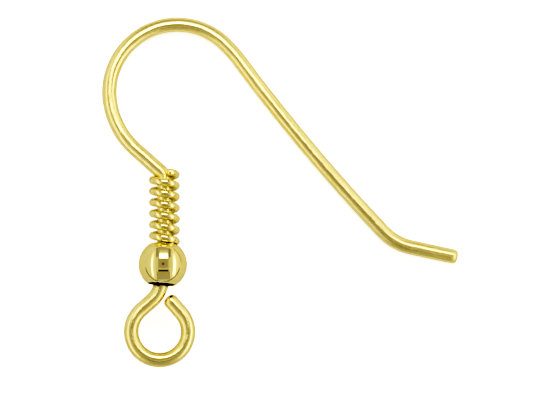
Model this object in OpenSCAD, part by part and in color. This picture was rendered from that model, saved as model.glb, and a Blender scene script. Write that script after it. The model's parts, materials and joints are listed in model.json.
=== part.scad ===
// French ear wire: one bent wire with an open eye loop, a thinner coil wound on its shank and a hollow
// round bead threaded under the coil. Millimetres, +Z up. It lies on Z = 0 as it comes to rest by itself,
// on the bead, the top of the arch and the tip of the tail.

/* [Wire] */
// Diameter of the main wire
wire_d = 0.76; // [0.64:0.02:0.9]

/* [Eye loop] */
// Inside diameter of the eye loop
eye_inner_d = 2.16; // [1.9:0.02:2.8]
// Opening left between the free end of the loop and the neck
eye_gap = 0.2; // [0.1:0.05:0.4]
// Centreline radius of the bend where the wire leaves the bead
neck_r = 1.5; // [1.3:0.1:2.2]
// Turn of that bend, in degrees
neck_turn = 44; // [38:1:50]
// Straight wire between that bend and the loop
neck_len = 0.75; // [0.6:0.05:1]
// Turn of the loop itself, in degrees
eye_turn = 270; // [262:1:276]
// Radius that rounds the edge of the loop's free end
eye_round = 0.3; // [0.1:0.01:0.32]

/* [Bead] */
// Outside diameter of the bead
bead_d = 2.5; // [2.1:0.1:3.5]
// Thickness of the bead's wall
bead_wall = 0.2; // [0.14:0.02:0.3]
// Space round the wire in the bead's two holes
bead_play = 0.3; // [0.16:0.01:0.32]
// Lean of the bead and its stretch of wire, in degrees away from the line of the coil
bead_lean = 4.5; // [1:0.5:8]
// Centreline radius of the slight bend that gives this lean
lean_r = 3; // [2:0.5:5]
// How far the loose bead tips on the wire, its lower hole towards the front, in degrees
bead_tip = 5; // [0:0.5:6]
// How far up inside the lower hole the neck starts to bend
neck_rise = 0.2; // [0.1:0.05:0.5]

/* [Coil] */
// Diameter of the coil's wire
coil_wire_d = 0.38; // [0.3:0.02:0.44]
// Full turns of the coil, from its foot at the side to the same side
coil_turns = 6; // [3:1:9]
// Rise of one turn
coil_pitch = 0.57; // [0.5:0.01:0.7]
// Space between the coil and the shank
coil_play = 0.04; // [0.02:0.01:0.1]
// How far its top end reaches round from that side to the front, in degrees
coil_top_reach = 65; // [20:5:80]
// Space between the foot of the coil and the bead
seat_gap = 0.01; // [0.01:0.01:0.1]

/* [Hook] */
// Turn of the knee where the wire leaves the top of the coil, in degrees
knee_turn = 48.5; // [42:0.5:54]
// Straight wire between the knee and the throat
slope_len = 1.7; // [1.2:0.05:2.2]
// Centreline radius of the throat, where the arch begins
throat_r = 4; // [3:0.1:6]
// Turn of the throat, in degrees
throat_turn = 41; // [34:1:48]
// Centreline radius of the arch, which hangs in the ear
arch_r = 3.5; // [3:0.1:4.5]
// Turn of the arch, in degrees
arch_turn = 142; // [134:1:148]
// Centreline radius of the shoulder, behind the arch
shoulder_r = 7.5; // [5:0.5:12]
// Turn of the shoulder, in degrees
shoulder_turn = 9; // [4:1:14]
// Length of the leg, along its slight bow
leg_len = 11.45; // [9:0.05:15]
// Turn of the leg's bow, in degrees
leg_turn = 7; // [3:1:10]

/* [Tail] */
// Centreline radius of the bend between the leg and the tail
tail_r = 2.75; // [2:0.25:4]
// Turn of that bend, in degrees
tail_turn = 34.5; // [28:0.5:40]
// Length of the straight tail, with its rounded tip
tail_len = 2.45; // [1.8:0.05:4]
// Radius that rounds the edge of the tip
tip_round = 0.25; // [0.1:0.01:0.3]

/* [Hidden] */

// Sides of a round section, and sides of a bend's full ring for each millimetre of its radius
WIRE_FN = 48;
BEND_FN = 24;
$fn = WIRE_FN;

// The thin collar that joins two stretches of the wire: how far it stands proud, and its length
JOINT_PROUD = 0.003;
JOINT_LEN = 0.04;

// The coil's surface: sides of each ring, rings in a turn, and rings in each rounded end
RING_SIDES = 12;
RINGS_PER_TURN = 24;
CAP_STEPS = 3;

gold = [0.85, 0.68, 0.28];
pale_gold = [0.9, 0.75, 0.36];

// Columns of the tables of bends: straight run first, then the bend at its end, turning left if positive
RUN = 0;
RADIUS = 1;
TURN = 2;

wire_r = wire_d / 2;
bead_r = bead_d / 2;
bead_hole_r = wire_r + bead_play;
coil_wire_r = coil_wire_d / 2;
coil_r = wire_r + coil_play + coil_wire_r;
coil_outer_r = coil_r + coil_wire_r;

// The flat drawing of the part: its first axis points away from the hook's slope, its second axis runs up
// the shank, and the foot of the coil is at [0, 0]
UP = 90;
DOWN = -90;

// The coil: its sweep round the shank, and the heights of its last turn where the knee bends over it and
// at the back, where it may touch the surface
coil_sweep = 360 * coil_turns + coil_top_reach;
coil_steps = ceil(coil_sweep / 360 * RINGS_PER_TURN);
coil_rise = coil_pitch / (2 * PI * coil_r);
knee_h = coil_pitch * (coil_turns - 0.5);
last_back_h = coil_pitch * (coil_turns - 0.25);

// The bead: how far out and up from its centre the tipped edge of its upper hole crosses the flat of the
// hook, and where the foot of the coil seats, on that edge or, if the foot is wider, on the ball itself
bead_half_len = sqrt(pow(bead_r, 2) - pow(bead_hole_r, 2));
edge_out = sqrt(pow(bead_hole_r, 2) - pow(bead_half_len * tan(bead_tip), 2));
edge_up = bead_half_len / cos(bead_tip);
lean_kink = lean_r * tan(bead_lean / 2);
seat_r = bead_r + coil_wire_r + seat_gap;
foot_out = coil_r * cos(bead_lean) - lean_kink * sin(bead_lean);
foot_on_ball = foot_out / seat_r > edge_out / bead_r;
foot_up = foot_on_ball
    ? sqrt(pow(seat_r, 2) - pow(foot_out, 2))
    : edge_up + sqrt(pow(coil_wire_r + seat_gap, 2) - pow(edge_out - foot_out, 2));
bead_down = foot_up - coil_r * sin(bead_lean) - lean_kink * cos(bead_lean);
bead_at = [0, -lean_kink] + bead_down * dir(DOWN - bead_lean);

// The eye loop: the free end stops at the stated gap from the neck, which curves away from it, and its
// length is a whole number of micrometres
eye_r = eye_inner_d / 2 + wire_r;
neck_sag = neck_r - sqrt(pow(neck_r, 2) - pow(max(0, eye_r - neck_len), 2));
eye_end_len = round(1000 * (eye_r - wire_r - eye_gap + neck_sag)) / 1000;

EYE_BENDS = [
    [0, lean_r, -bead_lean],
    [bead_down - lean_kink + bead_half_len - neck_rise, neck_r, -neck_turn],
    [neck_len, eye_r, eye_turn],
];

// The knee bends over the topmost turn of the coil with the same play as the shank inside it
HOOK_BENDS = [
    [knee_h, coil_r, knee_turn],
    [slope_len, throat_r, -throat_turn],
    [0, arch_r, -arch_turn],
    [0, shoulder_r, -shoulder_turn],
    [0, leg_len * 180 / (PI * leg_turn), leg_turn],
    [0, tail_r, tail_turn],
];

// Points on the centreline, for working out how the part lies: the tail touches where its rounding begins
bends = concat(walk(EYE_BENDS, [0, 0], DOWN), walk(HOOK_BENDS, [0, 0], UP));
tail_heading = heading_after(HOOK_BENDS, UP);
tail_end = bends[len(bends) - 1] + (tail_len - tip_round) * dir(tail_heading);
centreline = concat(bends, [tail_end]);

// Seen from the tip of the tail, the arch touches the surface where the wire is furthest round
lie_heading = min([for (p = centreline) if (norm(p - tail_end) > tail_len) bearing(tail_end, p)]);
bead_tilt = asin((bead_r - wire_r) / off_line(bead_at));
coil_tilt = asin((coil_outer_r - wire_r) / off_line([0, last_back_h]));
tilt = max(bead_tilt, coil_tilt);

// The middle of the tilted part's outline, which goes to the origin
flat = [for (p = centreline) laid(p)];
left_x = min([for (p = flat) p.x]) - wire_r;
right_x = laid(tail_end).x + tip_round + (wire_r - tip_round) * abs(sin(tail_heading));
low_y = min([for (p = flat) p.y]) - wire_r;
high_y = max([for (p = flat) p.y]) + wire_r;
middle = [(left_x + right_x) / 2, (low_y + high_y) / 2];

// Unit vector at an angle from the first axis
function dir(angle) = [cos(angle), sin(angle)];

// Direction from one point to another, from 0 to 360 degrees
function bearing(from, to) = (atan2(to.y - from.y, to.x - from.x) + 360) % 360;

// Distance of a point from the line on which the arch and the tail lie
function off_line(p) = let (v = p - tail_end) abs(v.x * sin(lie_heading) - v.y * cos(lie_heading));

// A point of the flat drawing once the part has tilted about that line
function laid(p) =
    let (along = (p - tail_end) * dir(lie_heading), across = off_line(p))
    tail_end + along * dir(lie_heading) + across * cos(tilt) * dir(lie_heading + 90);

// Heading at the end of a table of bends
function heading_after(rows, heading, i = 0) =
    i == len(rows) ? heading : heading_after(rows, heading + rows[i][TURN], i + 1);

// Points along a table of bends, every two degrees or so of each bend
function walk(rows, at, heading, i = 0) =
    i == len(rows) ? [at] :
    let (
        row = rows[i],
        side = sign(row[TURN]),
        bend_at = at + row[RUN] * dir(heading),
        centre = bend_at + row[RADIUS] * side * dir(heading + 90),
        steps = ceil(abs(row[TURN]) / 2),
        arc = [for (k = [1:steps])
            centre - row[RADIUS] * side * dir(heading + 90 + row[TURN] * k / steps)],
        end = steps > 0 ? arc[steps - 1] : bend_at
    )
    concat([at, bend_at], arc, walk(rows, end, heading + row[TURN], i + 1));

// Brings the flat drawing to rest on Z = 0, round the origin
module at_rest() {
    translate([-middle.x, -middle.y, wire_r])
        translate(tail_end)
            rotate([0, 0, lie_heading])
                rotate([tilt, 0, 0])
                    rotate([0, 0, -lie_heading])
                        translate(-tail_end)
                            children();
}

// A straight stretch of round wire from the origin along +X
module straight_wire(length) {
    rotate([0, 90, 0]) cylinder(h = length, r = wire_r);
}

// A bend that starts at the origin along +X and turns left if the turn is positive
module bent_wire(radius, turn) {
    translate([0, sign(turn) * radius, 0])
        rotate([0, 0, turn > 0 ? -90 : 90 + turn])
            rotate_extrude(angle = abs(turn), $fn = BEND_FN * ceil(radius))
                translate([radius, 0]) circle(r = wire_r, $fn = WIRE_FN);
}

// Wire that follows a table of bends from the origin, and its children beyond the last one. A thin
// collar overlaps both stretches at each joint, which makes them one solid.
module follow(rows, i = 0) {
    if (i == len(rows)) {
        children();
    } else {
        row = rows[i];
        side = sign(row[TURN]);
        if (row[RUN] > 0) straight_wire(row[RUN]);
        translate([row[RUN], 0, 0]) {
            joint_collar();
            bent_wire(row[RADIUS], row[TURN]);
            translate([0, side * row[RADIUS], 0])
                rotate([0, 0, row[TURN]])
                    translate([0, -side * row[RADIUS], 0]) {
                        if (i == len(rows) - 1 || rows[i + 1][RUN] > 0) joint_collar();
                        follow(rows, i + 1) children();
                    }
        }
    }
}

module joint_collar() {
    rotate([0, 90, 0]) cylinder(h = JOINT_LEN, r = wire_r + JOINT_PROUD, center = true);
}

// The last straight stretch of the wire, with the edge of its end rounded
module wire_end(length, rounding) {
    rotate([0, 90, 0]) rotate_extrude() {
        square([wire_r, length - rounding]);
        square([wire_r - rounding, length]);
        intersection() {
            translate([wire_r - rounding, length - rounding]) circle(r = rounding);
            translate([0, length - rounding]) square([wire_r, rounding]);
        }
    }
}

module ear_wire() {
    color(gold) at_rest() {
        rotate([0, 0, DOWN]) follow(EYE_BENDS) wire_end(eye_end_len, eye_round);
        rotate([0, 0, UP]) follow(HOOK_BENDS) wire_end(tail_len, tip_round);
    }
}

// Points of one ring of the coil, at an angle round the shank. At a rounded end, the ring lies the given
// number of degrees over the end's dome. The coil rises from the side round the front, left-handed.
function ring_points(angle, over = 0) =
    let (
        outward = [cos(angle), 0, sin(angle)],
        along = [-sin(angle), coil_rise, cos(angle)] / norm([1, coil_rise]),
        across = cross(along, outward),
        centre = coil_r * outward + [0, coil_pitch * angle / 360, 0] + coil_wire_r * sin(over) * along
    )
    [for (k = [0:RING_SIDES - 1])
        let (a = 360 * k / RING_SIDES)
        centre + coil_wire_r * cos(over) * (cos(a) * outward + sin(a) * across)];

// Two triangles for each side of the skin between two neighbouring rings
function skin_faces(rings) = [
    for (i = [0:rings - 2], k = [0:RING_SIDES - 1])
        let (a = i * RING_SIDES + k, b = i * RING_SIDES + (k + 1) % RING_SIDES)
        each [[a, b, a + RING_SIDES], [b, b + RING_SIDES, a + RING_SIDES]]
];

module coil() {
    cap_turn = 90 / (CAP_STEPS + 0.5);
    rings = concat(
        [for (k = [CAP_STEPS:-1:1]) ring_points(0, -k * cap_turn)],
        [for (k = [0:coil_steps]) ring_points(coil_sweep * k / coil_steps)],
        [for (k = [1:CAP_STEPS]) ring_points(coil_sweep, k * cap_turn)]
    );
    points = [for (ring = rings) each ring];
    foot_face = [for (k = [RING_SIDES - 1:-1:0]) k];
    top_face = [for (k = [0:RING_SIDES - 1]) len(points) - RING_SIDES + k];
    color(pale_gold) at_rest()
        polyhedron(points = points, faces = concat([foot_face], skin_faces(len(rings)), [top_face]));
}

// Section of the bead's wall beside its axis, cut off at the holes
module bead_section() {
    intersection() {
        difference() {
            circle(r = bead_r);
            circle(r = bead_r - bead_wall);
        }
        translate([bead_hole_r, -bead_r]) square([bead_r, bead_d]);
    }
}

module bead() {
    color(gold) at_rest()
        translate(bead_at)
            rotate([0, 0, -bead_lean])
                rotate([90 - bead_tip, 0, 0])
                    rotate_extrude() bead_section();
}

ear_wire();
coil();
bead();
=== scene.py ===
"""A French ear wire: one bent wire with an eye loop, a fine coil on its shank and a hollow ball bead.

The pieces are drawn in millimetres in the plane in which the wire was bent. Its first axis points from the
shank towards the tail, its second runs up the shank, its third comes out of the flat of the hook, and the
foot of the coil is at its origin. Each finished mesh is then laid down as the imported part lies.
"""
import json
import logging
import math
from dataclasses import dataclass
from enum import Enum
from typing import Any

import bmesh
import bpy
from mathutils import Matrix, Vector


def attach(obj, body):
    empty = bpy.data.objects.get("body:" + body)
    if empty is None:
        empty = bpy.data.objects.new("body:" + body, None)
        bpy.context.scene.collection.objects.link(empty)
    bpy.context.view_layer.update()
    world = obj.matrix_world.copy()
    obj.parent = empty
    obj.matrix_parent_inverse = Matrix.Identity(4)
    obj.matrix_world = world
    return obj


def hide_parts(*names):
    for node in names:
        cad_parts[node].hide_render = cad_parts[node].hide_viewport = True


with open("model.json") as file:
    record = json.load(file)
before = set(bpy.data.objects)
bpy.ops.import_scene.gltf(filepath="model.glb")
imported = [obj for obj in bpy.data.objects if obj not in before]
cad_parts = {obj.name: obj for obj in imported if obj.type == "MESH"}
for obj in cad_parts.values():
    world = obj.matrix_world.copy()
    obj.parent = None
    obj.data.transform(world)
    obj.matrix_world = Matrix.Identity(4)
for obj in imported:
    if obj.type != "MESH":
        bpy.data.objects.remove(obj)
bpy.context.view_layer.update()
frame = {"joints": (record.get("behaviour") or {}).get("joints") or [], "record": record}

log = logging.getLogger("ear_wire")

MM = 0.001

# Attributes of the meshes that the finishes read
GRAIN = "grain"
INSIDE = "inside"
# Share of paler plate painted over the shade between turns, under the coil and at the bead's ends
DULL_PALE_SHADE = "dull_pale_shade"

# Shares of a patchy noise between which the plate turns from fresh to handled
HANDLED = (0.35, 0.7)

# Sampling width of the relief, fine enough for the ripples
FINEST = 0.03

# Sockets of a Mix node's two colours and of its result
FIRST_COLOUR = 6
SECOND_COLOUR = 7
MIXED_COLOUR = 2


class Side(Enum):
    """The two ways in which a wire grows from the foot of the coil."""

    UP = 1
    DOWN = -1


class Follows(Enum):
    """What a pattern of marks follows: the drawn wire's own length, or the object as a whole."""

    WIRE = "wire"
    OBJECT = "object"


# Shader maths


class Value:
    """A number in a node tree, written in sums such as 1 - mask."""

    def __init__(self, nodes: "Nodes", socket: bpy.types.NodeSocket) -> None:
        """Wraps one output socket."""
        self.nodes = nodes
        self.socket = socket

    def _math(self, operation: str, *terms: Any) -> "Value":
        """Adds one Math node and returns its result."""
        node = self.nodes.add("Math", {"operation": operation}, dict(enumerate(terms)))
        return Value(self.nodes, node.outputs[0])

    def __add__(self, other: Any) -> "Value":
        """This number plus another."""
        return self._math("ADD", self, other)

    def __radd__(self, other: Any) -> "Value":
        """Another number plus this one."""
        return self._math("ADD", other, self)

    def __sub__(self, other: Any) -> "Value":
        """This number less another."""
        return self._math("SUBTRACT", self, other)

    def __rsub__(self, other: Any) -> "Value":
        """Another number less this one."""
        return self._math("SUBTRACT", other, self)

    def __mul__(self, other: Any) -> "Value":
        """This number times another."""
        return self._math("MULTIPLY", self, other)

    def __rmul__(self, other: Any) -> "Value":
        """Another number times this one."""
        return self._math("MULTIPLY", other, self)

    def __truediv__(self, other: Any) -> "Value":
        """This number over another."""
        return self._math("DIVIDE", self, other)

    def __rtruediv__(self, other: Any) -> "Value":
        """Another number over this one."""
        return self._math("DIVIDE", other, self)

    def root(self) -> "Value":
        """The square root."""
        return self._math("SQRT", self)

    def at_least(self, low: float) -> "Value":
        """This number, held at or above a lowest value."""
        return self._math("MAXIMUM", self, low)

    def rise(self, start: float, end: float) -> "Value":
        """A smooth step from 0 at one value to 1 at the other.

        Args:
            start: The value at which the step starts.
            end: The value at which it is whole, which may be lower than start.

        Returns:
            The step, from 0 to 1.
        """
        inputs = {"Value": self, "From Min": start, "From Max": end}
        node = self.nodes.add("MapRange", {"interpolation_type": "SMOOTHSTEP"}, inputs)
        return Value(self.nodes, node.outputs["Result"])

    def blend(self, other: Any, share: "Value") -> "Value":
        """This number where share is 0, and the other where it is 1.

        Args:
            other: The number that takes over.
            share: How much of the other shows.

        Returns:
            The blend.
        """
        node = self.nodes.add("Mix", {"data_type": "FLOAT"}, {0: share, 2: self, 3: other})
        return Value(self.nodes, node.outputs[0])


class Nodes:
    """A node tree that is built up node by node."""

    def __init__(self, tree: bpy.types.NodeTree) -> None:
        """Starts from an empty tree."""
        self.tree = tree
        tree.nodes.clear()

    def add(
        self, kind: str, settings: dict[str, Any] | None = None, inputs: dict[Any, Any] | None = None
    ) -> bpy.types.Node:
        """Adds one node, with its settings first and then its sockets.

        Args:
            kind: The node's type, without its ShaderNode prefix.
            settings: The node's own properties.
            inputs: A value, a socket or a Value for each input, by its name or number.

        Returns:
            The new node.
        """
        node = self.tree.nodes.new("ShaderNode" + kind)
        for name, setting in (settings or {}).items():
            setattr(node, name, setting)
        for key, given in (inputs or {}).items():
            given = given.socket if isinstance(given, Value) else given
            if isinstance(given, bpy.types.NodeSocket):
                self.tree.links.new(given, node.inputs[key])
            else:
                node.inputs[key].default_value = given
        return node

    def value(self, node: bpy.types.Node, output: Any = 0) -> Value:
        """One output of a node, as a number for sums."""
        return Value(self, node.outputs[output])

    def split(self, vector: bpy.types.NodeSocket) -> tuple[Value, Value, Value]:
        """The three numbers of a vector."""
        node = self.add("SeparateXYZ", inputs={0: vector})
        return self.value(node, 0), self.value(node, 1), self.value(node, 2)

    def noise(self, place: bpy.types.NodeSocket, marks: "Marks") -> Value:
        """Even noise, with its own number of bumps per metre along each axis.

        Args:
            place: The coordinates that the noise follows.
            marks: The marks that give its sizes and its finer octaves.

        Returns:
            The noise, from 0 to 1.
        """
        mapping = self.add("Mapping", inputs={"Vector": place, "Scale": marks.stretch()})
        inputs = {"Vector": mapping.outputs[0], "Scale": 1.0, "Detail": marks.detail}
        return self.value(self.add("TexNoise", inputs=inputs))


def new_material(name: str) -> tuple[bpy.types.Material, Nodes]:
    """Starts a material.

    Args:
        name: Name of the material.

    Returns:
        The material and its empty node tree.
    """
    made = bpy.data.materials.new(name)
    made.use_nodes = True
    return made, Nodes(made.node_tree)


# Finishes


@dataclass(frozen=True)
class Marks:
    """One kind of fine mark in a surface.

    Attributes:
        size: Width of a mark in millimetres along each axis of what it follows.
        depth: Depth of the marks in millimetres.
        detail: Finer octaves in them.
    """

    size: tuple[float, float, float]
    depth: float
    detail: float

    def stretch(self) -> tuple[float, float, float]:
        """Marks per metre along each axis."""
        return tuple(1 / (width * MM) for width in self.size)


@dataclass(frozen=True)
class Shade:
    """The colour and roughness laid over a recess or hollow, whose colour is painted shade."""

    colour: tuple[float, float, float]
    roughness: float


@dataclass(frozen=True)
class GoldPlate:
    """Polished gold plate.

    Attributes:
        name: Name of the material.
        colour: Linear colour of the bright metal.
        worn_colour: Linear colour where the plate is thinner or handled.
        roughness: Roughness of the best polished spots and of the most handled ones.
        follows: What the marks follow.
        patches: Where the plate is more handled.
        marks: The fine marks of drawing, bending and polishing.
        dull_pale_shade: Paler, rougher plate painted to lighten the shade, where the dull_pale_shade
            attribute is 1.
        edge_tint: Colour of the metal's reflection at grazing angles.
        inside: Painted shade, near black, inside the hollow bead, where the inside attribute is 1.
    """

    name: str
    colour: tuple[float, float, float]
    worn_colour: tuple[float, float, float]
    roughness: tuple[float, float]
    follows: Follows
    patches: Marks
    marks: tuple[Marks, ...]
    dull_pale_shade: Shade | None = None
    edge_tint: tuple[float, float, float] = (1.0, 0.95, 0.75)
    inside: Shade | None = None

    def material(self) -> bpy.types.Material:
        """Builds the material.

        Returns:
            The new material.
        """
        made, nodes = new_material(self.name)
        place = self.place(nodes)
        handled = nodes.noise(place, self.patches).rise(*HANDLED)
        smooth, dull = self.roughness
        colour = self.mix(nodes, self.colour, self.worn_colour, handled)
        roughness = handled * (dull - smooth) + smooth
        # Painted shade: paler between turns and at the bead's ends, near black inside the bead
        for shade, attribute in ((self.dull_pale_shade, DULL_PALE_SHADE), (self.inside, INSIDE)):
            if shade is not None:
                share = nodes.value(nodes.add("Attribute", {"attribute_name": attribute}), "Fac")
                colour = self.mix(nodes, colour, shade.colour, share)
                roughness = roughness.blend(shade.roughness, share)
        metal = nodes.add(
            "BsdfPrincipled",
            inputs={
                "Metallic": 1.0,
                "Base Color": colour,
                "Roughness": roughness,
                "Specular Tint": (*self.edge_tint, 1.0),
                "Normal": self.relief(nodes, place),
            },
        )
        nodes.add("OutputMaterial", inputs={"Surface": metal.outputs[0]})
        return made

    def place(self, nodes: Nodes) -> bpy.types.NodeSocket:
        """The coordinates that the marks follow.

        Args:
            nodes: The material's nodes.

        Returns:
            A vector socket.
        """
        if self.follows is Follows.WIRE:
            return nodes.add("Attribute", {"attribute_name": GRAIN}).outputs["Vector"]
        return nodes.add("TexCoord").outputs["Object"]

    def mix(self, nodes: Nodes, first: Any, second: Any, share: Value) -> bpy.types.NodeSocket:
        """Mixes two colours.

        Args:
            nodes: The material's nodes.
            first: The colour where share is 0, as numbers or a socket.
            second: The colour where it is 1.
            share: How much of the second shows.

        Returns:
            A colour socket.
        """
        first, second = ((*item, 1.0) if isinstance(item, tuple) else item for item in (first, second))
        inputs = {0: share, FIRST_COLOUR: first, SECOND_COLOUR: second}
        return nodes.add("Mix", {"data_type": "RGBA"}, inputs).outputs[MIXED_COLOUR]

    def relief(self, nodes: Nodes, place: bpy.types.NodeSocket) -> bpy.types.NodeSocket:
        """The fine marks, one bump on the other.

        Args:
            nodes: The material's nodes.
            place: The coordinates that the marks follow.

        Returns:
            The bumped normal's socket.
        """
        normal = None
        for marks in self.marks:
            height = nodes.noise(place, marks)
            inputs = {"Distance": marks.depth * MM, "Filter Width": FINEST, "Height": height}
            if normal is not None:
                inputs["Normal"] = normal
            normal = nodes.add("Bump", inputs=inputs).outputs[0]
        return normal


GOLD = (0.95, 0.79, 0.355)
RED_GOLD = (0.925, 0.76, 0.325)
# Paler plate painted between the coil's turns and on the shank under them, to lighten the shade there
BETWEEN_TURNS = Shade((0.97, 0.9, 0.47), 0.3)
# Paler plate painted at the bead's ends, to take the orange out of the reflections there
ROUND_HOLES = Shade((0.95, 0.86, 0.5), 0.3)

WIRE_FINISH = GoldPlate(
    name="gold_wire",
    colour=GOLD,
    worn_colour=RED_GOLD,
    roughness=(0.06, 0.1),
    follows=Follows.WIRE,
    patches=Marks((0.5, 0.5, 1.5), 0.0, 3.0),
    marks=(
        Marks((0.8, 0.8, 1.1), 0.03, 1.0),
        Marks((0.09, 0.09, 0.006), 0.0026, 0.0),
        Marks((0.12, 0.12, 6.0), 0.006, 1.0),
    ),
    dull_pale_shade=BETWEEN_TURNS,
    # Painted shade: the wire inside the bead is near black
    inside=Shade((0.02, 0.015, 0.01), 0.6),
)
COIL_FINISH = GoldPlate(
    name="gold_coil",
    colour=GOLD,
    worn_colour=RED_GOLD,
    roughness=(0.08, 0.12),
    follows=Follows.WIRE,
    patches=Marks((0.3, 0.3, 1.0), 0.0, 3.0),
    marks=(
        Marks((0.15, 0.15, 0.02), 0.002, 1.0),
        Marks((0.05, 0.05, 2.0), 0.0008, 2.0),
    ),
    dull_pale_shade=BETWEEN_TURNS,
)
BEAD_FINISH = GoldPlate(
    name="gold_bead",
    colour=GOLD,
    worn_colour=RED_GOLD,
    roughness=(0.03, 0.07),
    follows=Follows.OBJECT,
    patches=Marks((0.6, 0.6, 0.6), 0.0, 3.0),
    marks=(Marks((0.35, 0.05, 0.35), 0.00012, 3.0),),
    dull_pale_shade=ROUND_HOLES,
    # Painted shade: the bead's inner wall is near black
    inside=Shade((0.05, 0.04, 0.03), 0.6),
)


# Shapes


@dataclass(frozen=True)
class Bend:
    """One step in bending the wire.

    Attributes:
        run: Straight wire before the bend.
        radius: Radius of the bend at the wire's centreline.
        turn: Turn of the bend in degrees, to the left if positive.
    """

    run: float
    radius: float
    turn: float


@dataclass
class WireTip:
    """The growing tip of a wire.

    Attributes:
        ring: The edges of its last ring.
        at: The middle of that ring.
        heading: The unit vector in which the wire grows.
        along: Wire between the ring and the foot of the coil, negative below it.
        side: Whether the wire grows up or down from there.
    """

    ring: list[bmesh.types.BMEdge]
    at: Vector
    heading: Vector
    along: float
    side: Side


class RoundWire:
    """Round wire that grows ring by ring, as it was bent."""

    def __init__(self, radius: float, sides: int, ring_gap: float) -> None:
        """Starts with no wire.

        Args:
            radius: Radius of the wire.
            sides: Sides of each ring.
            ring_gap: Greatest distance between two rings along the centreline.
        """
        self.radius = radius
        self.sides = sides
        self.ring_gap = ring_gap
        self.mesh = bmesh.new()
        self.grain = self.mesh.verts.layers.float_vector.new(GRAIN)

    def start(self, at: Vector, heading: Vector) -> WireTip:
        """Makes the first ring.

        Args:
            at: The middle of the ring.
            heading: The unit vector in which the wire will grow.

        Returns:
            The tip that grows up from it.
        """
        turn = heading.to_track_quat("Z", "Y").to_matrix().to_4x4()
        made = bmesh.ops.create_circle(self.mesh, radius=self.radius, segments=self.sides)
        for vert in made["verts"]:
            vert[self.grain] = vert.co * MM
        bmesh.ops.transform(self.mesh, matrix=Matrix.Translation(at) @ turn, verts=made["verts"])
        return WireTip(list(self.mesh.edges), at.copy(), heading.copy(), 0.0, Side.UP)

    def other_way(self, tip: WireTip) -> WireTip:
        """The tip that grows down from the same ring."""
        return WireTip(list(tip.ring), tip.at.copy(), -tip.heading, tip.along, Side.DOWN)

    def _take(self, tip: WireTip, geometry: list[Any], grown: float) -> list[bmesh.types.BMVert]:
        """Makes the newest ring the tip's own and marks how far along the wire it is.

        Args:
            tip: The growing tip.
            geometry: What an extrusion or spin returned.
            grown: Centreline length of the new stretch.

        Returns:
            The vertices of the new ring.
        """
        verts = [item for item in geometry if isinstance(item, bmesh.types.BMVert)]
        own = set(verts)
        edges = [item for item in geometry if isinstance(item, bmesh.types.BMEdge)]
        tip.ring = [edge for edge in edges if own.issuperset(edge.verts)]
        tip.along += grown * tip.side.value
        for vert in verts:
            vert[self.grain].z = tip.along * MM
        return verts

    def _extrude(self, tip: WireTip, step: float) -> list[bmesh.types.BMVert]:
        """Grows the wire straight ahead by one ring.

        Args:
            tip: The growing tip.
            step: Distance to the new ring.

        Returns:
            The vertices of the new ring.
        """
        made = bmesh.ops.extrude_edge_only(self.mesh, edges=tip.ring)
        verts = self._take(tip, made["geom"], step)
        bmesh.ops.translate(self.mesh, vec=tip.heading * step, verts=verts)
        tip.at += tip.heading * step
        return verts

    def run(self, tip: WireTip, length: float) -> None:
        """Grows the wire straight ahead.

        Args:
            tip: The growing tip.
            length: Length of the straight stretch.
        """
        steps = math.ceil(length / self.ring_gap)
        for _ in range(steps):
            self._extrude(tip, length / steps)

    def bend(self, tip: WireTip, centre: Vector, axis: Vector, angle: float, rise: float = 0.0) -> None:
        """Grows the wire round a mandrel.

        Args:
            tip: The growing tip.
            centre: A point on the mandrel's axis, level with the tip.
            axis: Unit vector along the mandrel, round which the wire turns.
            angle: Turn in degrees, positive by the right-hand rule.
            rise: How far the wire rises along the axis over the whole turn.
        """
        length = math.hypot(math.radians(angle) * (tip.at - centre).length, rise)
        steps = math.ceil(length / self.ring_gap)
        turn = Matrix.Rotation(math.radians(angle) / steps, 3, axis)
        lift = axis * rise / steps
        middle = centre.copy()
        for _ in range(steps):
            made = bmesh.ops.spin(
                self.mesh,
                geom=tip.ring,
                cent=middle,
                axis=axis,
                dvec=lift,
                angle=math.radians(angle) / steps,
                steps=1,
                use_merge=False,
                use_duplicate=False,
            )
            self._take(tip, made["geom_last"], length / steps)
            tip.at = middle + turn @ (tip.at - middle) + lift
            tip.heading = turn @ tip.heading
            middle += lift

    def follow(self, tip: WireTip, bends: tuple[Bend, ...]) -> None:
        """Grows the wire along a table of bends in the flat of the hook.

        Args:
            tip: The growing tip.
            bends: The bends, in order.
        """
        flat = Vector((0, 0, 1))
        for bend in bends:
            if bend.run > 0:
                self.run(tip, bend.run)
            left = flat.cross(tip.heading)
            centre = tip.at + left * math.copysign(bend.radius, bend.turn)
            self.bend(tip, centre, flat, bend.turn)

    def finish_end(self, tip: WireTip, rounding: float, steps: int) -> None:
        """Rounds the edge of the wire's end and closes it.

        Args:
            tip: The tip, where the rounding begins.
            rounding: Radius of the rounded edge.
            steps: Rings over the rounding.
        """
        width = self.radius
        reach = 0.0
        for step in range(1, steps + 1):
            over = math.radians(90) * step / steps
            next_width = self.radius - rounding * (1 - math.cos(over))
            next_reach = rounding * math.sin(over)
            verts = self._extrude(tip, next_reach - reach)
            size = next_width / width
            space = Matrix.Translation(-tip.at)
            bmesh.ops.scale(self.mesh, vec=(size, size, size), space=space, verts=verts)
            width, reach = next_width, next_reach
        bmesh.ops.edgeloop_fill(self.mesh, edges=tip.ring)


def put_in_scene(mesh: bmesh.types.BMesh, name: str, material: bpy.types.Material) -> bpy.types.Object:
    """Makes an object of a shape.

    Args:
        mesh: The shape in its place, in metres, which is freed.
        name: Name of the object.
        material: Its material.

    Returns:
        The new object.
    """
    data = bpy.data.meshes.new(name)
    mesh.to_mesh(data)
    mesh.free()
    data.materials.append(material)
    made = bpy.data.objects.new(name, data)
    bpy.context.scene.collection.objects.link(made)
    return made


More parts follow.
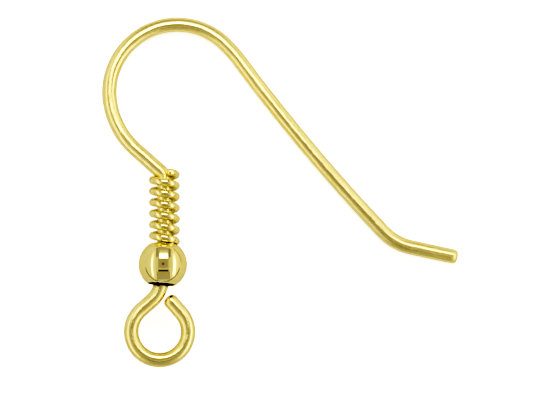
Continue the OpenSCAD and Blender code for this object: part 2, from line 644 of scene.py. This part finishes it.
def finish_piece(
    mesh: bmesh.types.BMesh, name: str, lay: Matrix, material: bpy.types.Material
) -> bpy.types.Object:
    """Turns a drawn shape into a finished piece, laid down as the part lies.

    Args:
        mesh: The shape in the flat drawing, which is freed.
        name: Name of the piece.
        lay: Brings the flat drawing to its place.
        material: The finish of the piece.

    Returns:
        The new object.
    """
    bmesh.ops.transform(mesh, matrix=lay, verts=mesh.verts)
    bmesh.ops.recalc_face_normals(mesh, faces=mesh.faces)
    for face in mesh.faces:
        face.smooth = True
    return put_in_scene(mesh, name, material)


def newest_vertex(made: dict[str, Any]) -> bmesh.types.BMVert:
    """The vertex at which the spin of one vertex ended."""
    return next(item for item in made["geom_last"] if isinstance(item, bmesh.types.BMVert))


def part_way(value: float, start: float, end: float) -> float:
    """How far a value has come from start to end, held between 0 and 1."""
    return min(max((value - start) / (end - start), 0.0), 1.0)


# Sub-assemblies


@dataclass(frozen=True)
class Gauge:
    """The sizes that the pieces share, in millimetres and degrees.

    Attributes:
        wire_d: Diameter of the main wire.
        coil_wire_d: Diameter of the coil's wire.
        coil_play: Space between the coil and the shank.
        coil_turns: Full turns of the coil.
        coil_pitch: Rise of one turn.
        bead_d: Outside diameter of the bead.
        bead_play: Space round the wire in the bead's holes.
        bead_tip: How far the loose bead tips on the wire, its lower hole towards the front.
        bead_lean: Lean of the bead and its wire away from the line of the coil.
        lean_r: Centreline radius of the bend that gives the lean.
        seat_gap: Space between the foot of the coil and the bead.
    """

    wire_d: float = 0.76
    coil_wire_d: float = 0.38
    coil_play: float = 0.04
    coil_turns: int = 6
    coil_pitch: float = 0.57
    bead_d: float = 2.5
    bead_play: float = 0.3
    bead_tip: float = 5
    bead_lean: float = 4.5
    lean_r: float = 3.0
    seat_gap: float = 0.01

    @property
    def coil_r(self) -> float:
        """Radius of the coil at the middle of its wire."""
        return self.wire_d / 2 + self.coil_play + self.coil_wire_d / 2

    @property
    def hole_r(self) -> float:
        """Radius of the bead's holes."""
        return self.wire_d / 2 + self.bead_play

    @property
    def half_bead(self) -> float:
        """Distance from the bead's middle to the edge of a hole, along its axis."""
        return math.sqrt((self.bead_d / 2) ** 2 - self.hole_r**2)

    @property
    def kink(self) -> float:
        """Distance from the foot of the coil to where the two straight lines of wire would cross."""
        return self.lean_r * math.tan(math.radians(self.bead_lean) / 2)

    @property
    def bead_drop(self) -> float:
        """Distance from that crossing to the bead's middle, with the coil's foot seated on a hole's edge."""
        lean = math.radians(self.bead_lean)
        foot_out = self.coil_r * math.cos(lean) - self.kink * math.sin(lean)
        reach = self.coil_wire_d / 2 + self.seat_gap
        edge_out = math.sqrt(self.hole_r**2 - (self.half_bead * math.tan(math.radians(self.bead_tip))) ** 2)
        edge_up = self.half_bead / math.cos(math.radians(self.bead_tip))
        foot_up = edge_up + math.sqrt(reach**2 - (edge_out - foot_out) ** 2)
        return foot_up - self.coil_r * math.sin(lean) - self.kink * math.cos(lean)

    @property
    def bead_at(self) -> Vector:
        """The bead's middle in the flat drawing."""
        lean = math.radians(self.bead_lean)
        down = Vector((-math.sin(lean), -math.cos(lean), 0))
        return Vector((0, -self.kink, 0)) + self.bead_drop * down

    def lay(self, joint: dict[str, Any], loop: dict[str, Any]) -> Matrix:
        """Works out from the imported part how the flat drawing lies.

        Args:
            joint: The joint on which the bead spins, along the bead's axis.
            loop: The mount in the eye loop, square to the flat of the hook.

        Returns:
            The matrix from millimetres of the flat drawing to the part's place.
        """
        face = Vector(loop["axis"]).normalized()
        up = Matrix.Rotation(math.radians(self.bead_lean), 3, face) @ Vector(joint["axis"])
        up = (up - up.dot(face) * face).normalized()
        across = up.cross(face)
        turn = Matrix((across, up, face)).transposed().to_4x4()
        origin = Vector(joint["pos_m"]) - turn @ (self.bead_at * MM)
        return Matrix.Translation(origin) @ turn @ Matrix.Scale(MM, 4)


@dataclass(frozen=True)
class HookWire:
    """The bent wire: eye loop, shank, arch, leg and tail.

    Attributes:
        gauge: The sizes shared with the coil and the bead.
        eye_inner_d: Inside diameter of the eye loop.
        eye_gap: Opening between the loop's free end and the neck.
        neck_r: Centreline radius of the bend under the bead.
        neck_turn: Turn of that bend.
        neck_len: Straight wire between it and the loop.
        neck_rise: How far above the bead's lower hole it begins.
        eye_turn: Turn of the loop.
        eye_round: Radius of the rounded edge at the loop's free end.
        knee_turn: Turn of the knee at the top of the coil.
        slope_len: Straight wire above the knee.
        throat: The bend from the slope into the arch.
        arch: The arch that hangs in the ear.
        shoulder: The slower bend from the arch into the leg.
        leg_len: Length of the slightly bowed leg.
        leg_turn: Turn of the leg's bow.
        tail_bend: The bend above the tail.
        tail_len: Length of the tail with its tip.
        tip_round: Radius of the rounded edge at the tip.
        shade_inside_r: Distance from the bead's middle within which the wire is painted near black as shade.
        knee_below: Turns between the top of the last full one and the knee.
        pale_shade_share: How strongly the paler plate is painted over the shade on the shank under the coil.
        pale_shade_below: Turns between the top of the last full one and the top of that painted stretch.
        sides: Sides of the round wire.
        ring_gap: Greatest gap between two rings of vertices.
        end_rings: Rings over each rounded edge.
    """

    gauge: Gauge
    eye_inner_d: float = 2.16
    eye_gap: float = 0.2
    neck_r: float = 1.5
    neck_turn: float = 44
    neck_len: float = 0.75
    neck_rise: float = 0.2
    eye_turn: float = 270
    eye_round: float = 0.3
    knee_turn: float = 48.5
    slope_len: float = 1.7
    throat: Bend = Bend(0, 4, -41)
    arch: Bend = Bend(0, 3.5, -142)
    shoulder: Bend = Bend(0, 7.5, -9)
    leg_len: float = 11.45
    leg_turn: float = 7
    tail_bend: Bend = Bend(0, 2.75, 34.5)
    tail_len: float = 2.45
    tip_round: float = 0.25
    shade_inside_r: float = 1.19
    knee_below: float = 0.5
    pale_shade_share: float = 0.25
    pale_shade_below: int = 1
    sides: int = 56
    ring_gap: float = 0.1
    end_rings: int = 8

    @property
    def eye_r(self) -> float:
        """Centreline radius of the eye loop."""
        return self.eye_inner_d / 2 + self.gauge.wire_d / 2

    @property
    def eye_end(self) -> float:
        """Straight wire at the loop's free end, which stops a gap short of the neck."""
        sag = self.neck_r - math.sqrt(self.neck_r**2 - (self.eye_r - self.neck_len) ** 2)
        return self.eye_r - self.gauge.wire_d / 2 - self.eye_gap + sag

    def eye_bends(self) -> tuple[Bend, ...]:
        """The bends below the coil: the lean, the neck and the loop."""
        gauge = self.gauge
        stem = gauge.bead_drop - gauge.kink + gauge.half_bead - self.neck_rise
        return (
            Bend(0, gauge.lean_r, -gauge.bead_lean),
            Bend(stem, self.neck_r, -self.neck_turn),
            Bend(self.neck_len, self.eye_r, self.eye_turn),
        )

    def hook_bends(self) -> tuple[Bend, ...]:
        """The bends above the coil's foot: knee, throat, arch, shoulder, leg and tail."""
        gauge = self.gauge
        knee_h = gauge.coil_pitch * (gauge.coil_turns - self.knee_below)
        bow_r = self.leg_len / math.radians(self.leg_turn)
        return (
            Bend(knee_h, gauge.coil_r, self.knee_turn),
            Bend(self.slope_len, self.throat.radius, self.throat.turn),
            self.arch,
            self.shoulder,
            Bend(0, bow_r, self.leg_turn),
            self.tail_bend,
        )

    def build(self, lay: Matrix) -> bpy.types.Object:
        """Bends and dresses the wire.

        Args:
            lay: Brings the flat drawing to its place.

        Returns:
            The finished piece.
        """
        wire = RoundWire(self.gauge.wire_d / 2, self.sides, self.ring_gap)
        tip = wire.start(Vector((0, 0, 0)), Vector((0, 1, 0)))
        eye = wire.other_way(tip)
        wire.follow(tip, self.hook_bends())
        wire.run(tip, self.tail_len - self.tip_round)
        wire.finish_end(tip, self.tip_round, self.end_rings)
        wire.follow(eye, self.eye_bends())
        wire.run(eye, self.eye_end - self.eye_round)
        wire.finish_end(eye, self.eye_round, self.end_rings)
        self.mark_inside(wire.mesh)
        self.mark_dull_pale_shade(wire)
        piece = finish_piece(wire.mesh, "hook_wire", lay, WIRE_FINISH.material())
        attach(piece, "wire")
        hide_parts("ear_wire")
        return piece

    def mark_inside(self, mesh: bmesh.types.BMesh) -> None:
        """Marks the stretch of the wire inside the bead, which is painted near black as shade.

        Args:
            mesh: The wire in the flat drawing.
        """
        inside = mesh.verts.layers.float.new(INSIDE)
        for vert in mesh.verts:
            vert[inside] = float((vert.co - self.gauge.bead_at).length < self.shade_inside_r)

    def mark_dull_pale_shade(self, wire: RoundWire) -> None:
        """Marks the stretch of the wire under the coil, where a paler plate is painted over the shade.

        Args:
            wire: The bent wire.
        """
        dull_pale_shade = wire.mesh.verts.layers.float.new(DULL_PALE_SHADE)
        top = (self.gauge.coil_turns - self.pale_shade_below) * self.gauge.coil_pitch * MM
        for vert in wire.mesh.verts:
            vert[dull_pale_shade] = self.pale_shade_share * float(0 < vert[wire.grain].z < top)


@dataclass(frozen=True)
class ShankCoil:
    """The fine coil wound on the shank.

    Attributes:
        gauge: The sizes shared with the wire and the bead.
        top_reach: Degrees wound past the last full turn.
        end_round: Radius of the rounded edge at each end.
        open_r: Distance from the shank's axis from which no paler plate is painted over the shade.
        sides: Sides of the round wire.
        ring_gap: Greatest gap between two rings of vertices.
        end_rings: Rings over each rounded edge.
    """

    gauge: Gauge
    top_reach: float = 65
    end_round: float = 0.16
    open_r: float = 0.72
    sides: int = 36
    ring_gap: float = 0.075
    end_rings: int = 6

    def build(self, lay: Matrix) -> bpy.types.Object:
        """Winds and dresses the coil.

        Args:
            lay: Brings the flat drawing to its place.

        Returns:
            The finished piece.
        """
        gauge = self.gauge
        down = Vector((0, -1, 0))
        sweep = 360 * gauge.coil_turns + self.top_reach
        rise = gauge.coil_pitch / (2 * math.pi * gauge.coil_r)
        wire = RoundWire(gauge.coil_wire_d / 2, self.sides, self.ring_gap)
        tip = wire.start(Vector((gauge.coil_r, 0, 0)), Vector((0, rise, 1)).normalized())
        foot = wire.other_way(tip)
        wire.bend(tip, Vector((0, 0, 0)), down, sweep, -gauge.coil_pitch * sweep / 360)
        wire.finish_end(tip, self.end_round, self.end_rings)
        wire.finish_end(foot, self.end_round, self.end_rings)
        self.mark_dull_pale_shade(wire.mesh)
        piece = finish_piece(wire.mesh, "shank_coil", lay, COIL_FINISH.material())
        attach(piece, "wire")
        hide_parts("coil")
        return piece

    def mark_dull_pale_shade(self, mesh: bmesh.types.BMesh) -> None:
        """Marks the turns' sides that face each other and the shank, where a paler plate is painted over the
        shade.

        Args:
            mesh: The coil in the flat drawing.
        """
        dull_pale_shade = mesh.verts.layers.float.new(DULL_PALE_SHADE)
        for vert in mesh.verts:
            out = math.hypot(vert.co.x, vert.co.z)
            vert[dull_pale_shade] = part_way(out, self.open_r, self.gauge.coil_r)


@dataclass(frozen=True)
class BallBead:
    """The hollow ball bead under the coil.

    Attributes:
        gauge: The sizes shared with the wire and the coil.
        wall: Thickness of the wall.
        unshaded_share: Share of the wall's thickness, from the outer face, kept out of the painted shade
            inside.
        open_y: Distance along the axis up to which no paler plate is painted over the reflections.
        rim_round: Radius of the rounded edges of the holes.
        rim_segments: Facets over each rounded edge.
        sharp: Angle in degrees from which an edge is rounded.
        arc_steps: Facets from one hole to the other.
        sides: Facets round the bead.
        same_place: Distance within which vertices are merged.
    """

    gauge: Gauge
    wall: float = 0.2
    unshaded_share: float = 0.15
    open_y: float = 0.85
    rim_round: float = 0.05
    rim_segments: int = 4
    sharp: float = 30
    arc_steps: int = 56
    sides: int = 112
    same_place: float = 1e-5

    def build(self, lay: Matrix) -> bpy.types.Object:
        """Spins, drills and dresses the bead.

        Args:
            lay: Brings the flat drawing to its place.

        Returns:
            The finished piece.
        """
        mesh = bmesh.new()
        self.spin_wall(mesh)
        self.round_rims(mesh)
        self.mark_finish(mesh)
        lean = Matrix.Rotation(-math.radians(self.gauge.bead_lean), 4, "Z")
        tip = Matrix.Rotation(-math.radians(self.gauge.bead_tip), 4, "X")
        place = Matrix.Translation(self.gauge.bead_at) @ lean @ tip
        bmesh.ops.transform(mesh, matrix=place, verts=mesh.verts)
        piece = finish_piece(mesh, "ball_bead", lay, BEAD_FINISH.material())
        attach(piece, "bead")
        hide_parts("bead")
        return piece

    def spin_wall(self, mesh: bmesh.types.BMesh) -> None:
        """Spins the section of the wall round the bead's axis.

        Args:
            mesh: The empty shape.
        """
        gauge = self.gauge
        outer = gauge.bead_d / 2
        inner = outer - self.wall
        outer_reach = math.acos(gauge.hole_r / outer)
        inner_reach = math.acos(gauge.hole_r / inner)
        middle, flat, axis = Vector((0, 0, 0)), Vector((0, 0, 1)), Vector((0, 1, 0))
        first = bmesh.ops.create_vert(mesh, co=(gauge.hole_r, gauge.half_bead, 0))["vert"][0]
        arc = {"cent": middle, "axis": flat, "use_merge": False, "use_duplicate": False}
        made = bmesh.ops.spin(mesh, geom=[first], angle=-2 * outer_reach, steps=self.arc_steps, **arc)
        last = newest_vertex(made)
        made = bmesh.ops.spin(mesh, geom=[last], angle=0, steps=1, **arc)
        last = newest_vertex(made)
        last.co.y = -inner * math.sin(inner_reach)
        made = bmesh.ops.spin(mesh, geom=[last], angle=2 * inner_reach, steps=self.arc_steps, **arc)
        last = newest_vertex(made)
        bmesh.ops.contextual_create(mesh, geom=[last, first])
        bmesh.ops.spin(
            mesh,
            geom=list(mesh.verts) + list(mesh.edges),
            cent=middle,
            axis=axis,
            angle=math.radians(360),
            steps=self.sides,
            use_merge=True,
            use_duplicate=False,
        )
        bmesh.ops.remove_doubles(mesh, verts=mesh.verts, dist=self.same_place)
        bmesh.ops.recalc_face_normals(mesh, faces=mesh.faces)

    def round_rims(self, mesh: bmesh.types.BMesh) -> None:
        """Rounds the edges of the two holes, inside and out.

        Args:
            mesh: The spun wall.
        """
        limit = math.radians(self.sharp)
        rims = [edge for edge in mesh.edges if edge.is_manifold and edge.calc_face_angle() > limit]
        bmesh.ops.bevel(
            mesh,
            geom=rims,
            offset=self.rim_round,
            segments=self.rim_segments,
            profile=0.5,
            affect="EDGES",
            material=-1,
        )

    def mark_finish(self, mesh: bmesh.types.BMesh) -> None:
        """Marks the wall's inner face, painted near black as shade, and the two ends, where a paler plate is
        painted.

        Args:
            mesh: The wall, round its own middle.
        """
        inside = mesh.verts.layers.float.new(INSIDE)
        dull_pale_shade = mesh.verts.layers.float.new(DULL_PALE_SHADE)
        edge = self.gauge.bead_d / 2 - self.wall * self.unshaded_share
        for vert in mesh.verts:
            vert[inside] = float(vert.co.length < edge)
            vert[dull_pale_shade] = part_way(abs(vert.co.y), self.open_y, self.gauge.half_bead)


# Studio


@dataclass(frozen=True)
class Panel:
    """One lit or dark patch of the light tent over the part.

    Its place is the place where a mirror ball, seen from straight above, shows it, as shares of the ball's
    radius to the right of its middle and up from it.

    Attributes:
        left: Its left edge.
        right: Its right edge.
        low: Its lower edge.
        high: Its upper edge.
        light: How bright it is.
        soft: Width over which its left, right, lower and upper edges fade.
        bowed: Whether its sides bow out round the middle, as an upright lamp's do.
    """

    left: float
    right: float
    low: float
    high: float
    light: float
    soft: tuple[float, float, float, float] = (0.015, 0.015, 0.015, 0.015)
    bowed: bool = False

    def mask(self, across: Value, up: Value) -> Value:
        """Where the panel shows.

        Args:
            across: Place across the mirror ball.
            up: Place up the mirror ball.

        Returns:
            A mask, 1 inside the panel and 0 outside it.
        """
        left, right, low, high = (width / 2 for width in self.soft)
        return (
            across.rise(self.left - left, self.left + left)
            * across.rise(self.right + right, self.right - right)
            * up.rise(self.low - low, self.low + low)
            * up.rise(self.high + high, self.high - high)
        )


PANELS = (
    # The tent's top end is a little dimmer
    Panel(-1.1, 1.1, 0.66, 1.1, 0.9, (0.1, 0.1, 0.2, 0.1)),
    # The left lamp, with its glow on the cloth outside and inside
    Panel(-0.62, -0.43, -0.58, 0.62, 1.18, (0.3, 0.02, 0.3, 0.3), True),
    Panel(-0.43, -0.29, -0.58, 0.62, 1.28, (0.02, 0.06, 0.2, 0.2), True),
    Panel(-0.46, -0.395, -0.46, 0.34, 3.6, (0.05, 0.03, 0.2, 0.5), True),
    # The right lamp
    Panel(0.5, 0.7, -0.6, 0.66, 1.41, (0.02, 0.2, 0.3, 0.3), True),
    Panel(0.33, 0.46, -0.56, 0.6, 1.15, (0.04, 0.02, 0.2, 0.2), True),
    Panel(0.435, 0.54, -0.44, 0.32, 3.6, (0.03, 0.03, 0.25, 0.5), True),
    # The slot in the tent's roof, through which the camera looks, with its dark edges
    Panel(-0.18, 0.24, -0.607, 0.74, 0.64, (0.03, 0.03, 0.04, 0.08)),
    Panel(-0.27, -0.183, 0.3, 0.74, 0.51, (0.02, 0.02, 0.03, 0.06)),
    Panel(0.242, 0.33, 0.286, 0.725, 0.47, (0.02, 0.03, 0.03, 0.06)),
    Panel(-0.23, -0.18, -0.66, -0.3, 0.57, (0.02, 0.02, 0.06, 0.1)),
    Panel(0.24, 0.29, -0.6, -0.28, 0.53, (0.02, 0.02, 0.1, 0.1)),
    # The bright window in the slot with its glow above it, and the dark bar across it
    Panel(-0.13, 0.212, 0.34, 0.53, 1.4, (0.02, 0.02, 0.02, 0.3)),
    Panel(-0.13, 0.212, 0.26, 0.4, 9.0, (0.02, 0.02, 0.02, 0.2)),
    Panel(-0.18, 0.235, -0.2, -0.13, 0.87, (0.03, 0.03, 0.02, 0.06)),
    Panel(-0.175, 0.242, -0.2775, -0.212, 0.1, (0.015, 0.015, 0.02, 0.02)),
)


@dataclass(frozen=True)
class Studio:
    """The pale floor, the light tent and the camera.

    Attributes:
        tent_at: The point round which the tent is painted, in metres.
        tent_r: Radius of the tent in millimetres.
        tent_facets: How often the tent's facets are divided.
        tent_light: Brightness of the tent's plain cloth.
        backdrop_light: Brightness of the backdrop as the camera sees it, just over white.
        floor_grey: How much light the floor returns to the part.
        floor_seen: How much it returns to the camera, which sees it overexposed.
        floor_size: Side of the floor in metres.
        bow: How strongly a bowed panel's sides bow.
        lens_at: Where the mirror ball shows the camera's lens.
        lens_r: Radius of the lens in the mirror ball, and of the ring round it.
        lens_soft: Share of its radius at which each begins to fade.
        lens_light: Brightness of the lens and of the ring.
        hem_r: Where the mirror ball shows the dark hem at the tent's foot, from its upper edge down.
        hem_high: How low in the mirror ball the hem begins, and where it is whole.
        hem_light: Brightness of the hem.
        camera_at: The camera's place in millimetres.
        view_width: Width of the picture at the level of the floor, in millimetres.
        sensor: Width of the camera's sensor in millimetres.
        film_gamma: Contrast of the film.
        film_toe: Exposure under which the film loses the darks.
        film_white: The light that the film shows as white.
        film_points: Points from which the film's curve is drawn.
        film_curve: Which of the view's curves works on all colours.
        mirror_edge: Keeps the division at the mirror ball's edge above zero.
    """

    tent_at: Vector
    tent_r: float = 48.0
    tent_facets: int = 3
    tent_light: float = 1.05
    backdrop_light: float = 2.6
    floor_grey: float = 0.8
    floor_seen: float = 2.5
    floor_size: float = 4.0
    bow: float = 0.55
    lens_at: tuple[float, float] = (0.0235, 0.029)
    lens_r: tuple[float, float] = (0.07, 0.19)
    lens_soft: tuple[float, float] = (0.6, 0.8)
    lens_light: tuple[float, float] = (0.27, 0.61)
    hem_r: tuple[float, float] = (0.668, 0.682)
    hem_high: tuple[float, float] = (-0.05, -0.2)
    hem_light: float = 0.4
    camera_at: tuple[float, float, float] = (-0.708, -0.412, 230.0)
    view_width: float = 27.45
    sensor: float = 36.0
    film_gamma: float = 1.613
    film_toe: float = 0.13
    film_white: float = 2.4
    film_points: int = 24
    film_curve: int = 3
    mirror_edge: float = 1e-4

    def build(self) -> None:
        """Sets up floor, light, film and camera."""
        self.floor()
        self.backdrop()
        self.tent()
        self.develop()
        self.camera()

    def stand(self, mesh: bmesh.types.BMesh, material: bpy.types.Material) -> bpy.types.Object:
        """Puts a piece of the studio in the scene.

        Args:
            mesh: Its shape in metres, which is freed.
            material: Its material, which names it.

        Returns:
            The new object.
        """
        made = put_in_scene(mesh, material.name, material)
        return made

    def floor(self) -> None:
        """Lays the floor."""
        mesh = bmesh.new()
        bmesh.ops.create_grid(mesh, x_segments=1, y_segments=1, size=self.floor_size / 2)
        self.stand(mesh, self.floor_material())

    def floor_material(self) -> bpy.types.Material:
        """White paper, which the camera sees overexposed.

        Returns:
            The material.
        """
        made, nodes = new_material("floor")
        lit, seen = self.floor_grey, self.floor_seen
        paper = nodes.add("BsdfDiffuse", inputs={"Color": (lit, lit, lit, 1)})
        overexposed = nodes.add("BsdfDiffuse", inputs={"Color": (seen, seen, seen, 1)})
        path = nodes.add("LightPath")
        inputs = {0: path.outputs["Is Camera Ray"], 1: paper.outputs[0], 2: overexposed.outputs[0]}
        mixed = nodes.add("MixShader", inputs=inputs)
        nodes.add("OutputMaterial", inputs={"Surface": mixed.outputs[0]})
        return made

    def backdrop(self) -> None:
        """Lights the world outside the tent, which the camera sees as white."""
        world = bpy.data.worlds.new("backdrop")
        world.use_nodes = True
        bpy.context.scene.world = world
        nodes = Nodes(world.node_tree)
        plain = nodes.value(nodes.add("Value"))
        plain.socket.default_value = self.tent_light
        seen = nodes.value(nodes.add("LightPath"), "Is Camera Ray")
        light = plain.blend(self.backdrop_light, seen)
        sky = nodes.add("Background", inputs={"Color": (1, 1, 1, 1), "Strength": light})
        nodes.add("OutputWorld", inputs={"Surface": sky.outputs[0]})

    def tent(self) -> None:
        """Stands the light tent over the part, open to the camera's view."""
        mesh = bmesh.new()
        bmesh.ops.create_icosphere(mesh, subdivisions=self.tent_facets, radius=self.tent_r * MM)
        bmesh.ops.bisect_plane(
            mesh,
            geom=list(mesh.verts) + list(mesh.edges) + list(mesh.faces),
            plane_co=(0, 0, 0),
            plane_no=(0, 0, 1),
            clear_inner=True,
        )
        tent = self.stand(mesh, self.tent_material())
        tent.visible_camera = False

    def tent_material(self) -> bpy.types.Material:
        """Paints the light on the tent, as a mirror ball under it shows it.

        Returns:
            The material.
        """
        made, nodes = new_material("light_tent")
        place = nodes.add("TexCoord").outputs["Object"]
        away = nodes.add("VectorMath", {"operation": "SUBTRACT"}, {0: place, 1: self.tent_at})
        ray = nodes.add("VectorMath", {"operation": "NORMALIZE"}, {0: away.outputs[0]})
        east, north, up = nodes.split(ray.outputs[0])
        spread = ((up + 1) * 2).at_least(self.mirror_edge).root()
        across = east / spread
        high = north / spread
        bowed = across * (high * high * self.bow + 1)
        light = nodes.value(nodes.add("Value"))
        light.socket.default_value = self.tent_light
        for panel in PANELS:
            mask = panel.mask(bowed if panel.bowed else across, high)
            light = light.blend(panel.light, mask)
        light = self.lens(light, across, high)
        hem = (across * across + high * high).root().rise(*self.hem_r) * high.rise(*self.hem_high)
        light = light.blend(self.hem_light, hem)
        lamp = nodes.add("Emission", inputs={"Color": (1, 1, 1, 1), "Strength": light})
        nodes.add("OutputMaterial", inputs={"Surface": lamp.outputs[0]})
        return made

    def lens(self, light: Value, across: Value, high: Value) -> Value:
        """Adds the camera's lens, a dark spot in a dim ring.

        Args:
            light: The tent's light so far.
            across: Place across the mirror ball.
            high: Place up the mirror ball.

        Returns:
            The light with the lens in it.
        """
        right = across - self.lens_at[0]
        above = high - self.lens_at[1]
        away = (right * right + above * above).root()
        spot_r, ring_r = self.lens_r
        spot, ring = self.lens_light
        spot_soft, ring_soft = self.lens_soft
        light = light.blend(ring, away.rise(ring_r, ring_r * ring_soft))
        return light.blend(spot, away.rise(spot_r, spot_r * spot_soft))

    def develop(self) -> None:
        """Gives the picture a film's soft shoulder, on which bright gold turns pale, and its toe."""
        view = bpy.context.scene.view_settings
        view.view_transform = "Standard"
        view.look = "None"
        view.use_curve_mapping = True
        mapping = view.curve_mapping
        mapping.white_level = (self.film_white,) * 3
        curve = mapping.curves[self.film_curve]
        for point in range(1, self.film_points):
            share = point / self.film_points
            curve.points.new(share, self.exposed(share * self.film_white))
        mapping.update()

    def exposed(self, light: float) -> float:
        """How much of the film's white a light gives."""
        fog, white = (given**self.film_gamma for given in (light, self.film_white))
        return (1 - math.exp(-fog * (1 - math.exp(-fog / self.film_toe)))) / (1 - math.exp(-white))

    def camera(self) -> None:
        """Hangs the camera straight above the part."""
        data = bpy.data.cameras.new("camera")
        data.sensor_width = self.sensor
        data.lens = self.sensor * self.camera_at[2] / self.view_width
        data.clip_start = MM
        camera = bpy.data.objects.new("camera", data)
        camera.location = Vector(self.camera_at) * MM
        bpy.context.scene.collection.objects.link(camera)
        bpy.context.scene.camera = camera


def named(rows: list[dict[str, Any]], name: str) -> dict[str, Any]:
    """The row of a list that has a name."""
    return next(row for row in rows if row["name"] == name)


def main() -> None:
    """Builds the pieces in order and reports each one."""
    logging.basicConfig(level=logging.INFO, format="%(name)s: %(message)s")
    gauge = Gauge()
    spin = named(frame["joints"], "bead_spin")
    lay = gauge.lay(spin, named(frame["record"]["mounts"], "drop_loop"))
    for part in (HookWire(gauge), ShankCoil(gauge), BallBead(gauge)):
        piece = part.build(lay)
        log.info("%s: %d faces", piece.name, len(piece.data.polygons))
    Studio(Vector(spin["pos_m"])).build()


if __name__ == "__main__":
    main()
